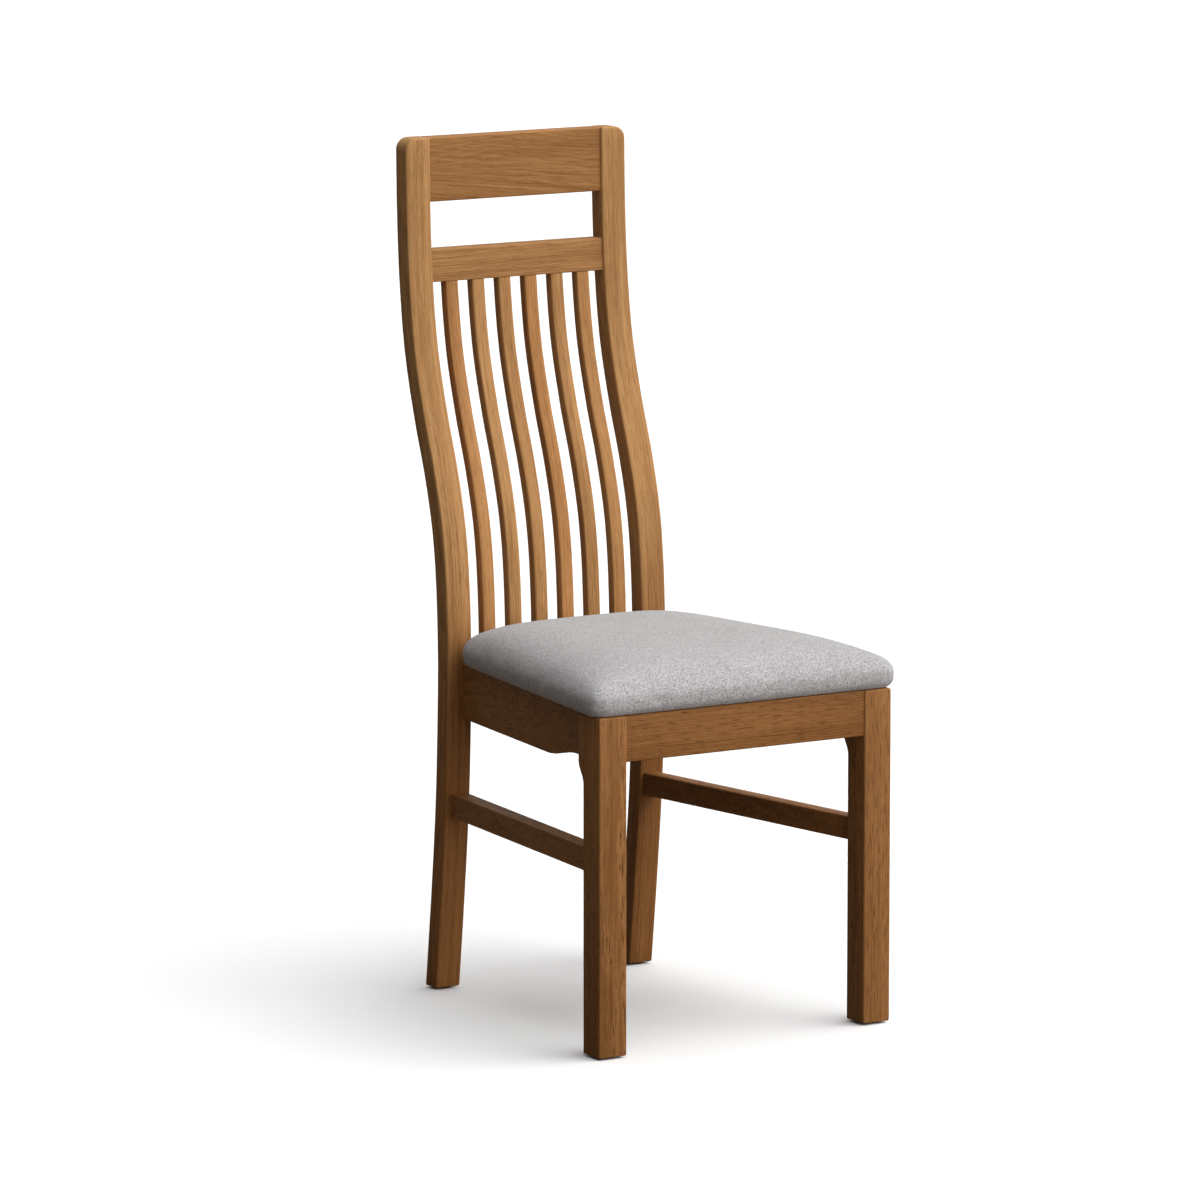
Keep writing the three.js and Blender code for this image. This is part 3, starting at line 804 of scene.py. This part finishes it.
def open_underside(pad, low, roof):
    """Sinks the middle of the pad's flat underside, so that the lining lies in a shallow bay."""
    bay = PadPlan(BAY_INSET)
    bm = bmesh.new()
    bm.from_mesh(pad.data)
    across = math.hypot(1, bay.taper)
    planes = [((0, bay.front, 0), (0, -1, 0)), ((0, bay.rear, 0), (0, 1, 0))]
    for side in (-1, 1):
        planes.append(((side * bay.half(0.0), 0, 0), (side / across, bay.taper / across, 0)))
    flat = lambda f: f.normal.z < -0.99 and f.calc_center_median().z < low + 0.0005
    for point, normal in planes:
        under = [f for f in bm.faces if flat(f)]
        near = {v for f in under for v in f.verts} | {e for f in under for e in f.edges}
        bmesh.ops.bisect_plane(bm, geom=under + list(near), dist=1e-5, plane_co=point,
                               plane_no=normal)
        bm.normal_update()
    within = lambda co: all(
        (co - Vector(point)).dot(Vector(normal)) < 0 for point, normal in planes)
    middle = [f for f in bm.faces if flat(f) and within(f.calc_center_median())]
    bmesh.ops.delete(bm, geom=middle, context="FACES")
    rim = [e for e in bm.edges if e.is_boundary]
    raised = bmesh.ops.extrude_edge_only(bm, edges=rim)["geom"]
    for v in (v for v in raised if isinstance(v, bmesh.types.BMVert)):
        v.co.z = roof
    bmesh.ops.holes_fill(bm, edges=[e for e in bm.edges if e.is_boundary], sides=0)
    bmesh.ops.recalc_face_normals(bm, faces=bm.faces)
    bm.to_mesh(pad.data)
    bm.free()


def evaluated_mesh(obj):
    """A copy of the object's mesh with its modifiers applied."""
    shown = obj.evaluated_get(bpy.context.evaluated_depsgraph_get())
    return bpy.data.meshes.new_from_object(shown)


def remade(obj, kind, **settings):
    """Applies one modifier to the object's mesh."""
    modifier = obj.modifiers.new(kind.title(), kind)
    for key, value in settings.items():
        setattr(modifier, key, value)
    mesh = evaluated_mesh(obj)
    obj.modifiers.clear()
    obj.data = mesh


def swell(obj, s, held):
    """Swells a closed cloth by the pressure of its filling, and limits how far it moves."""
    start = [v.co.copy() for v in obj.data.vertices]
    outward = [v.normal.copy() for v in obj.data.vertices]
    pins = obj.vertex_groups.new(name="held")
    pins.add(list(range(len(start))), s.foam_hold, "REPLACE")
    pins.add([i for i, co in enumerate(start) if held(co)], 1.0, "REPLACE")
    cloth = obj.modifiers.new("Cloth", "CLOTH")
    set_up, scene = cloth.settings, bpy.context.scene
    set_up.vertex_group_mass = "held"
    set_up.mass, set_up.quality = 0.3, 6
    set_up.tension_stiffness = set_up.compression_stiffness = 12.0
    set_up.bending_stiffness, set_up.shrink_min = 4.0, -s.slack_cloth
    set_up.use_pressure, set_up.uniform_pressure_force = True, s.pressure
    set_up.effector_weights.gravity = 0.0
    cloth.collision_settings.use_collision = False
    cloth.point_cache.frame_start, cloth.point_cache.frame_end = 1, s.steps
    for step in range(1, s.steps + 1):
        scene.frame_set(step)
    swelled = evaluated_mesh(obj)
    ends = [v.co.copy() for v in swelled.vertices]
    bpy.data.meshes.remove(swelled)
    obj.modifiers.clear()
    scene.frame_set(1)
    for v, a, b, normal in zip(obj.data.vertices, start, ends, outward):
        move = b - a
        sunk = min(move.dot(normal) + s.foam_give, 0.0)
        move -= normal * sunk
        if move.length > s.swell_limit:
            move *= s.swell_limit / move.length
        v.co = a + move


class CHAIR_OT_seat_pad(bpy.types.Operator):
    """Make the upholstered seat pad, swelled by cloth simulation"""

    bl_idname = "chair.seat_pad"
    bl_label = "Seat pad"

    def execute(self, context):
        s = context.scene.chair_pad
        lo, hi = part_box("seat_cover")
        plan = PadPlan(PAD_PLAY)
        bm = pad_blank(s, plan, lo.z, hi.z - PAD_PLAY)
        pad = piece_from(bm, "crowned_seat_pad", [])
        remade(pad, "REMESH", mode="VOXEL", voxel_size=s.voxel)
        height = hi.z - PAD_PLAY - lo.z
        # the pad falls away from its middle to its edges, most at the top
        for v in pad.data.vertices:
            part = [min(abs(t), 1) for t in plan.across(v.co.x, v.co.y)]
            full = math.prod(1 - t ** power for t, power in zip(part, CROWN_POWERS))
            lift = smooth_step((v.co.z - lo.z) / height)
            v.co.z -= s.crown * (1 - full) * lift
        swell(pad, s, lambda co: co.z < lo.z + 0.002)
        above = pad.vertex_groups.new(name="above")
        above.add([v.index for v in pad.data.vertices if v.co.z > lo.z + 0.001], 1.0, "REPLACE")
        remade(pad, "SMOOTH", factor=0.5, iterations=8, vertex_group="above")
        remade(pad, "SUBSURF", levels=1, render_levels=1)
        open_underside(pad, lo.z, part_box("seat_dust_cover")[1].z + 0.00015)
        pad.data.materials.clear()
        pad.data.materials.append(cover_material())
        pad.data.shade_smooth()
        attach(pad, "root")
        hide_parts("seat_cover", "seat_foam")
        return {"FINISHED"}


# ---------------------------------------------------------------- small parts

def worn_group():
    """Two colours mixed by fine and broad mottling, for moulded, plated and felted parts."""
    name = "Mottled surface"
    if name in bpy.data.node_groups:
        return bpy.data.node_groups[name]
    group = new_group(name, (
        ("Scale", "Float", 400.0), ("First", "Color", (0.5, 0.5, 0.5, 1)),
        ("Second", "Color", (0.3, 0.3, 0.3, 1)), ("Smooth", "Float", 0.3),
        ("Rough", "Float", 0.6),
    ))
    n = Nodes(group)
    source = n.add("NodeGroupInput").outputs
    fine = n.noise(source["Vector"], source["Scale"], 4.0, 0.65)
    broad = n.noise(source["Vector"], n.times(source["Scale"], 0.12), 3.0, 0.6)
    scratch = n.noise(n.scaled(source["Vector"], (1.0, 6.0, 1.0)),
                      n.times(source["Scale"], 0.7), 2.0, 0.7)
    value = n.plus(n.times(n.span(fine, 0.3, 0.7), 0.6), n.times(n.span(broad, 0.3, 0.7), 0.4))
    n.give(n.mix(value, source["First"], source["Second"]),
           n.span(scratch, 0.3, 0.7, source["Smooth"], source["Rough"]),
           n.plus(fine, n.times(scratch, 0.5)))
    return group


def mottled_material(name, first, second, scale, smooth, rough, depth, metal=0.0):
    """A mottled surface with its own colours, scale, gloss and relief."""
    material, n, shader = plain_material(name)
    place = n.add("ShaderNodeTexCoord").outputs["Object"]
    look = n.add("ShaderNodeGroup", node_tree=worn_group())
    for key, value in (("Vector", place), ("Scale", scale), ("First", rgba(first)),
                       ("Second", rgba(second)), ("Smooth", smooth), ("Rough", rough)):
        n.set(look, key, value)
    dress(n, shader, look, 0.5, depth)
    shader.inputs["Metallic"].default_value = metal
    return material


def steel_material():
    """Dull yellow zinc plate, for the screws and staples."""
    return mottled_material("Plated steel", (0.62, 0.58, 0.47), (0.42, 0.39, 0.32), 900.0,
                            0.25, 0.5, 0.0002, 1.0)


def wear(node, material):
    """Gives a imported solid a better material."""
    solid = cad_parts[node]
    for held in solid.material_slots:
        held.material = material


class CHAIR_OT_inner_timber(bpy.types.Operator):
    """Give the corner blocks and the seat board their timber"""

    bl_idname = "chair.inner_timber"
    bl_label = "Corner blocks and seat board"

    def execute(self, context):
        for side, sign in SIDES:
            for end, turn in (("front", -1), ("rear", 1)):
                block_wood = timber_material(
                    f"Block timber, {end} {side}", along="X", turn=turn * sign * math.pi / 4,
                    offset=(0.1 * sign, 0.07 * turn, 0.2), figure=0.4, rings=0.35,
                    pale=(0.60, 0.42, 0.22), dark=(0.36, 0.21, 0.09),
                )
                wear(f"corner_block_{end}_{side}", block_wood)
        wear("seat_board", timber_material(
            "Board plywood", along="X", offset=(0.3, 0.0, 0.43), figure=1.6, rings=0.5,
            ring_width=0.002, pale=(0.62, 0.45, 0.25), dark=(0.35, 0.2, 0.09),
        ))
        return {"FINISHED"}


class CHAIR_OT_lining(bpy.types.Operator):
    """Give the lining its black felt and staple it round the edge"""

    bl_idname = "chair.lining"
    bl_label = "Lining and staples"

    def execute(self, context):
        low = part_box("seat_dust_cover")[0].z
        wear("seat_dust_cover", mottled_material(
            "Lining felt", (0.030, 0.030, 0.032), (0.012, 0.012, 0.013), 800.0, 0.8, 0.98, 0.0006))
        plan = PadPlan(STAPLE_INSET)
        front, rear = plan.front, plan.rear
        slant = math.atan(plan.taper)
        places = []
        for edge_y in (front, rear):
            half = plan.half(edge_y) - 0.02
            places += [(half * (2 * i / 9 - 1), edge_y, 0.0) for i in range(10)]
        for i in range(11):
            y = front + 0.02 + (rear - front - 0.04) * i / 10
            places += [(sign * plan.half(y), y, math.pi / 2 + sign * slant)
                       for _, sign in SIDES]
        bm = bmesh.new()
        for x, y, turn in places:
            made = bmesh.ops.create_cube(bm, size=1.0)["verts"]
            bmesh.ops.scale(bm, vec=STAPLE, verts=made)
            bmesh.ops.rotate(bm, verts=made, matrix=Matrix.Rotation(turn, 3, "Z"))
            bmesh.ops.translate(bm, vec=(x, y, low - 0.0002), verts=made)
        round_edges(bm, bm.edges[:], 0.00018, 2)
        staples = piece_from(bm, "lining_staples", [steel_material()])
        return {"FINISHED"}


class CHAIR_OT_screws(bpy.types.Operator):
    """Give the screws their plated steel"""

    bl_idname = "chair.screws"
    bl_label = "Screws"

    def execute(self, context):
        steel = steel_material()
        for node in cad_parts:
            if node.startswith("screw_"):
                wear(node, steel)
        return {"FINISHED"}


class CHAIR_OT_foot_glides(bpy.types.Operator):
    """Turn the round glides under the feet"""

    bl_idname = "chair.foot_glides"
    bl_label = "Foot glides"

    def execute(self, context):
        nylon = mottled_material("Glide nylon", (0.075, 0.055, 0.040), (0.045, 0.033, 0.025),
                                 700.0, 0.42, 0.7, 0.0003)
        for end in ("front", "rear"):
            for side, _ in SIDES:
                node = f"foot_glide_{end}_{side}"
                lo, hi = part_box(node)
                middle, radius = (lo + hi) / 2, (hi.x - lo.x) / 2
                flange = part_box(f"{end}_leg_{side}")[0].z - 0.0003
                outline = ((0.0, 0.0), (radius - 0.0012, 0.0), (radius - 0.0004, 0.0003),
                           (radius, 0.0011), (radius, flange - 0.0003),
                           (radius - 0.0003, flange), (0.004, flange), (0.004, hi.z - 0.001),
                           (0.003, hi.z), (0.0, hi.z))
                bm = bmesh.new()
                chain = [bm.verts.new((r, 0.0, z)) for r, z in outline]
                edges = [bm.edges.new(pair) for pair in zip(chain, chain[1:])]
                bmesh.ops.spin(bm, geom=chain + edges, cent=(0, 0, 0), axis=(0, 0, 1),
                               angle=2 * math.pi, steps=36, use_merge=True)
                bmesh.ops.translate(bm, vec=(middle.x, middle.y, 0.0), verts=bm.verts)
                glide = piece_from(bm, f"turned_{node}", [nylon])
                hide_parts(node)
        return {"FINISHED"}


# ---------------------------------------------------------------- studio

def floor_paint(tint):
    """Matt pale floor paint. It throws back little light, so that shaded sides stay deep."""
    material, n, shader = plain_material("Floor paint")
    seen = n.add("ShaderNodeLightPath").outputs["Is Camera Ray"]
    n.set(shader, "Base Color", n.mix(seen, (0.14, 0.12, 0.10, 1), rgba(tint)))
    shader.inputs["Roughness"].default_value = 1.0
    shader.inputs["Specular IOR Level"].default_value = 0.0
    return material


def room_light(even, front, back):
    """Even light, with a broad soft light from the front and a weaker one from behind."""
    world = bpy.data.worlds.new("Room")
    world.use_nodes = True
    n = Nodes(world.node_tree)
    background = world.node_tree.nodes["Background"]
    direction = n.add("ShaderNodeTexCoord").outputs["Generated"]

    def glow(place, start, full, strength):
        toward = n.add("ShaderNodeVectorMath", {0: direction, 1: place}, operation="DOT_PRODUCT")
        return n.span(toward.outputs["Value"], start, full, 0.0, strength, smooth=True)

    both = n.plus(glow(FRONT_GLOW, 0.25, 0.95, front), glow(BACK_GLOW, 0.6, 0.98, back))
    background.inputs["Color"].default_value = GLOW_COLOUR
    n.set(background, "Strength", n.plus(both, even))
    return world


class CHAIR_OT_stage(bpy.types.Operator):
    """Make the floor, the lights and the camera"""

    bl_idname = "chair.stage"
    bl_label = "Studio"

    def execute(self, context):
        scene, s = context.scene, context.scene.chair_stage
        bm = bmesh.new()
        bmesh.ops.create_grid(bm, x_segments=2, y_segments=2, size=60.0)
        mesh = bpy.data.meshes.new("studio_floor")
        bm.to_mesh(mesh)
        bm.free()
        floor = bpy.data.objects.new("studio_floor", mesh)
        scene.collection.objects.link(floor)
        mesh.materials.append(floor_paint(s.floor))

        light = bpy.data.lights.new("Overhead light", "SUN")
        light.energy, light.angle = s.key, math.radians(OVERHEAD_SPREAD)
        lamp = bpy.data.objects.new("Overhead light", light)
        lamp.rotation_euler = Vector(OVERHEAD_AIM).to_track_quat("-Z", "Y").to_euler()
        scene.collection.objects.link(lamp)
        scene.world = room_light(s.room, s.front, s.back)

        camera_data = bpy.data.cameras.new("Camera")
        camera_data.sensor_width, camera_data.lens = 36.0, s.lens
        camera_data.clip_end = 200.0
        camera = bpy.data.objects.new("Camera", camera_data)
        camera.location = (CAMERA_ACROSS, FRONT_Y - CAMERA_AHEAD, s.camera_height)
        camera.rotation_euler = (math.radians(CAMERA_TILT), 0, math.radians(CAMERA_TURN))
        scene.collection.objects.link(camera)
        scene.camera = camera
        scene.view_settings.view_transform = "Standard"
        return {"FINISHED"}


class CHAIR_PT_panel(bpy.types.Panel):
    """Sizes, colours and the making of each piece"""

    bl_idname = "CHAIR_PT_panel"
    bl_label = "Dining chair"
    bl_space_type = "VIEW_3D"
    bl_region_type = "UI"
    bl_category = "Chair"

    def draw(self, context):
        layout = self.layout
        for group in (context.scene.chair_timber, context.scene.chair_pad,
                      context.scene.chair_stage):
            box = layout.box()
            for prop in group.bl_rna.properties:
                if prop.identifier not in ("rna_type", "name"):
                    box.prop(group, prop.identifier)
        for operator in OPERATORS:
            layout.operator(operator.bl_idname)


SETTINGS = (ChairTimberSettings, ChairPadSettings, ChairStageSettings)
OPERATORS = (
    CHAIR_OT_rear_legs, CHAIR_OT_front_legs, CHAIR_OT_back_rails, CHAIR_OT_back_slats,
    CHAIR_OT_cross_rails, CHAIR_OT_side_rails, CHAIR_OT_stretchers, CHAIR_OT_seat_pad,
    CHAIR_OT_inner_timber, CHAIR_OT_lining, CHAIR_OT_screws, CHAIR_OT_foot_glides,
    CHAIR_OT_stage,
)


def register():
    for cls in SETTINGS + OPERATORS + (CHAIR_PT_panel,):
        bpy.utils.register_class(cls)
    bpy.types.Scene.chair_timber = PointerProperty(type=ChairTimberSettings)
    bpy.types.Scene.chair_pad = PointerProperty(type=ChairPadSettings)
    bpy.types.Scene.chair_stage = PointerProperty(type=ChairStageSettings)


def unregister():
    for name in ("chair_timber", "chair_pad", "chair_stage"):
        delattr(bpy.types.Scene, name)
    for cls in reversed(SETTINGS + OPERATORS + (CHAIR_PT_panel,)):
        bpy.utils.unregister_class(cls)


def main():
    register()
    for operator in OPERATORS:
        group, name = operator.bl_idname.split(".")
        getattr(getattr(bpy.ops, group), name)()


if __name__ == "__main__":
    main()
